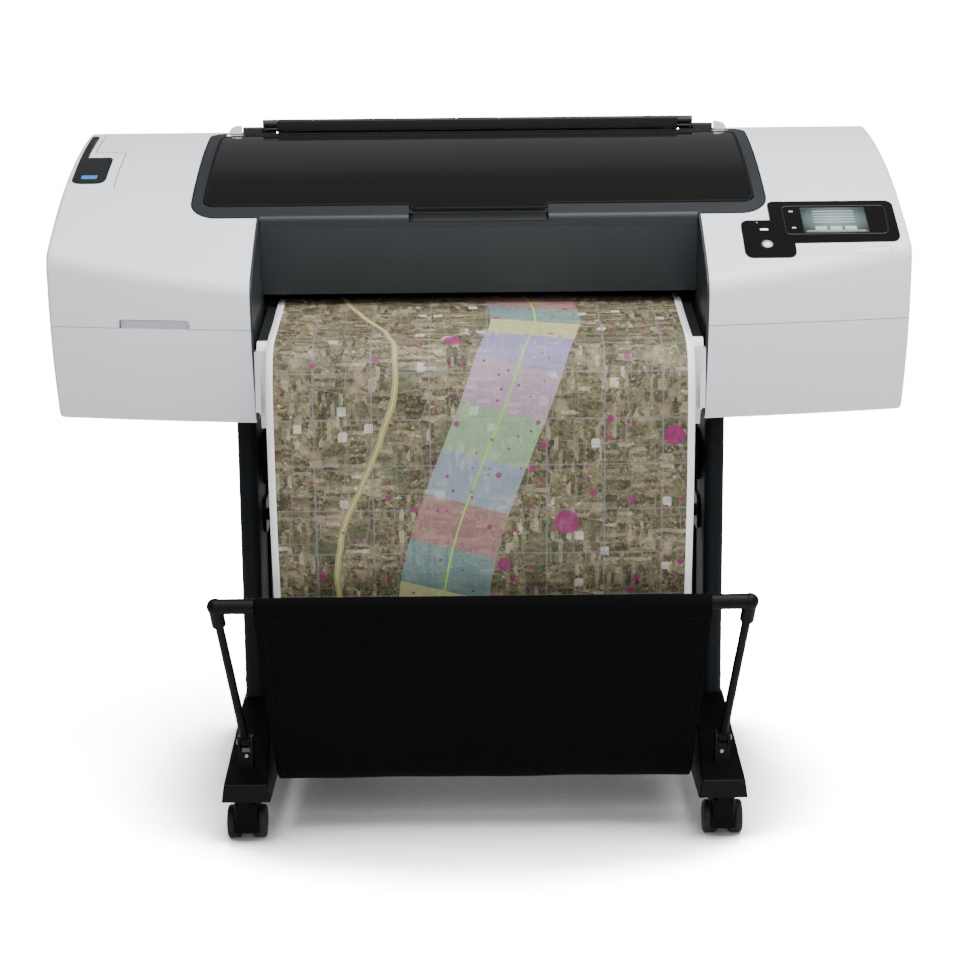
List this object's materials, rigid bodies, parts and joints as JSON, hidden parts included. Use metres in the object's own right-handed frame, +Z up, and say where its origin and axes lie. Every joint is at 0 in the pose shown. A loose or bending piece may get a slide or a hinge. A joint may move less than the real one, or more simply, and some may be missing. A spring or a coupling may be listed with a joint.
{
  "type": "large format plotter",
  "caption": "Wheeled large format inkjet plotter with two light grey pods, glossy window lid, rear paper roll, hanging printed sheet and a black fabric catch bin.",
  "frame": {"origin": "on the floor under the middle of the bounding box", "axes": "+X to the right of a person facing the front, +Y to the back, +Z up"},
  "size_m": [1.263, 0.6609, 1.0584],
  "materials": {
    "shell": "fine satin moulding",
    "rear_shell": "fine satin moulding",
    "surround": "satin",
    "dark_plastic": "satin",
    "gloss_black": "high gloss",
    "screen_glass": "glossy",
    "white_plastic": "glossy",
    "paper": "matt",
    "print": "satin print",
    "steel": "plain",
    "roller": "ground",
    "hub": "satin",
    "belt": "toothed",
    "pulley": "machined",
    "carriage": "satin",
    "cartridge": "satin",
    "leg": "satin powder coat",
    "foot": "satin powder coat",
    "fabric": "woven",
    "caster": "satin",
    "tyre": "matt"
  },
  "bodies": {
    "base": {"bin_brackets": "foot", "bin_rail": "foot", "bin_sling": "fabric", "bottom_pan": "dark_plastic", "carriage_rail": "steel", "control_bezel": "gloss_black", "cross_brace": "foot", "drive_belt": "belt", "electronics_case": "steel", "foot_left": "foot", "foot_right": "foot", "front_cover_left": "shell", "front_cover_right": "shell", "front_panel": "shell", "hinge_caps": "shell", "ink_bay": "dark_plastic", "ink_cartridges_inner": "cartridge", "ink_cartridges_outer": "cartridge", "inner_wall_left": "surround", "inner_wall_right": "surround", "leg_left": "leg", "leg_right": "leg", "lever_housing": "shell", "lid_surround": "surround", "lower_cover_right": "shell", "paper_guide": "dark_plastic", "platen": "dark_plastic", "power_inlet": "dark_plastic", "printed_sheet": "print", "rear_cover": "rear_shell", "recess_panel": "surround", "roll_cover_hinges": "dark_plastic", "roll_holders": "dark_plastic", "service_station": "dark_plastic", "side_cover_left": "shell", "side_cover_right": "shell", "top_cover_left": "shell", "top_cover_right": "shell", "touch_screen": "screen_glass"},
    "window_lid": {"window_lid": "gloss_black"},
    "roll_cover": {"roll_cover": "dark_plastic"},
    "loading_lever": {"loading_lever": "dark_plastic"},
    "ink_door": {"ink_door": "shell"},
    "carriage": {"carriage": "carriage"},
    "motor_pulley": {"motor_pulley": "pulley"},
    "idler_pulley": {"idler_pulley": "pulley"},
    "feed_roller": {"feed_roller": "roller"},
    "pinch_rollers": {"pinch_rollers": "roller"},
    "roll": {"roll_spindle": "hub", "paper_roll": "paper"},
    "power_button": {"power_button": "white_plastic"},
    "power_rocker": {"power_rocker": "dark_plastic"},
    "bin_frame": {"bin_frame": "foot"},
    "caster_front_left": {"caster_hood_front_left": "caster"},
    "wheels_front_left": {"caster_wheels_front_left": "tyre"},
    "caster_front_right": {"caster_hood_front_right": "caster"},
    "wheels_front_right": {"caster_wheels_front_right": "tyre"},
    "caster_rear_left": {"caster_hood_rear_left": "caster"},
    "wheels_rear_left": {"caster_wheels_rear_left": "tyre"},
    "caster_rear_right": {"caster_hood_rear_right": "caster"},
    "wheels_rear_right": {"caster_wheels_rear_right": "tyre"}
  },
  "joints": [
    {"name": "lid_hinge", "type": "hinge", "parent": "base", "child": "window_lid", "pos_m": [0, 0.204, 1.03327], "axis": [-1, 0, 0], "range_deg": [0, 75]},
    {"name": "roll_cover_hinge", "type": "hinge", "parent": "base", "child": "roll_cover", "pos_m": [0, 0.236, 1.043], "axis": [1, 0, 0], "range_deg": [0, 80]},
    {"name": "lever_hinge", "type": "hinge", "parent": "base", "child": "loading_lever", "pos_m": [-0.616, 0.208, 1.02872], "axis": [-1, 0, 0], "range_deg": [0, 35]},
    {"name": "ink_door_hinge", "type": "hinge", "parent": "base", "child": "ink_door", "pos_m": [-0.48, -0.1, 0.638], "axis": [1, 0, 0], "range_deg": [0, 80]},
    {"name": "carriage_slide", "type": "slide", "parent": "base", "child": "carriage", "axis": [-1, 0, 0], "range_m": [0, 0.78]},
    {"name": "motor_pulley_spin", "type": "hinge", "parent": "base", "child": "motor_pulley", "pos_m": [0.56, 0.063, 0.88], "axis": [0, 1, 0], "range_deg": [-10, 6000]},
    {"name": "idler_pulley_spin", "type": "hinge", "parent": "base", "child": "idler_pulley", "pos_m": [-0.56, 0.063, 0.88], "axis": [0, 1, 0], "range_deg": [-10, 6000]},
    {"name": "feed_roller_spin", "type": "hinge", "parent": "base", "child": "feed_roller", "pos_m": [0, 0.1, 0.785], "axis": [1, 0, 0], "continuous": true},
    {"name": "pinch_rollers_spin", "type": "hinge", "parent": "base", "child": "pinch_rollers", "pos_m": [0, 0.1, 0.8089], "axis": [1, 0, 0], "continuous": true},
    {"name": "roll_spin", "type": "hinge", "parent": "base", "child": "roll", "pos_m": [0, 0.245, 0.962], "axis": [1, 0, 0], "continuous": true},
    {"name": "power_button_press", "type": "slide", "parent": "base", "child": "power_button", "axis": [0, 0.5232, -0.8522], "range_m": [0, 0.0012], "stiffness_N_per_m": 400, "springref_m": -0.0005},
    {"name": "power_rocker_tilt", "type": "hinge", "parent": "base", "child": "power_rocker", "pos_m": [-0.5146, 0.243, 0.692], "axis": [1, 0, 0], "range_deg": [-10, 0]},
    {"name": "bin_frame_fold", "type": "hinge", "parent": "base", "child": "bin_frame", "pos_m": [0, -0.217, 0.152], "axis": [-1, 0, 0], "range_deg": [0, 45], "deforming": ["bin_sling", "printed_sheet"]},
    {"name": "caster_swivel_front_left", "type": "hinge", "parent": "base", "child": "caster_front_left", "pos_m": [-0.361, -0.234, 0.07], "axis": [0, 0, 1], "continuous": true},
    {"name": "wheel_spin_front_left", "type": "hinge", "parent": "caster_front_left", "child": "wheels_front_left", "pos_m": [-0.361, -0.212, 0.025], "axis": [1, 0, 0], "continuous": true},
    {"name": "caster_swivel_front_right", "type": "hinge", "parent": "base", "child": "caster_front_right", "pos_m": [0.361, -0.234, 0.07], "axis": [0, 0, 1], "continuous": true},
    {"name": "wheel_spin_front_right", "type": "hinge", "parent": "caster_front_right", "child": "wheels_front_right", "pos_m": [0.361, -0.212, 0.025], "axis": [1, 0, 0], "continuous": true},
    {"name": "caster_swivel_rear_left", "type": "hinge", "parent": "base", "child": "caster_rear_left", "pos_m": [-0.361, 0.276, 0.07], "axis": [0, 0, 1], "continuous": true},
    {"name": "wheel_spin_rear_left", "type": "hinge", "parent": "caster_rear_left", "child": "wheels_rear_left", "pos_m": [-0.361, 0.298, 0.025], "axis": [1, 0, 0], "continuous": true},
    {"name": "caster_swivel_rear_right", "type": "hinge", "parent": "base", "child": "caster_rear_right", "pos_m": [0.361, 0.276, 0.07], "axis": [0, 0, 1], "continuous": true},
    {"name": "wheel_spin_rear_right", "type": "hinge", "parent": "caster_rear_right", "child": "wheels_rear_right", "pos_m": [0.361, 0.298, 0.025], "axis": [1, 0, 0], "continuous": true}
  ],
  "couplings": [
    {"joint": "motor_pulley_spin", "follows": "carriage_slide", "rad_per_m": 119.05},
    {"joint": "idler_pulley_spin", "follows": "carriage_slide", "rad_per_m": 119.05},
    {"joint": "pinch_rollers_spin", "follows": "feed_roller_spin", "ratio": -1.875}
  ]
}
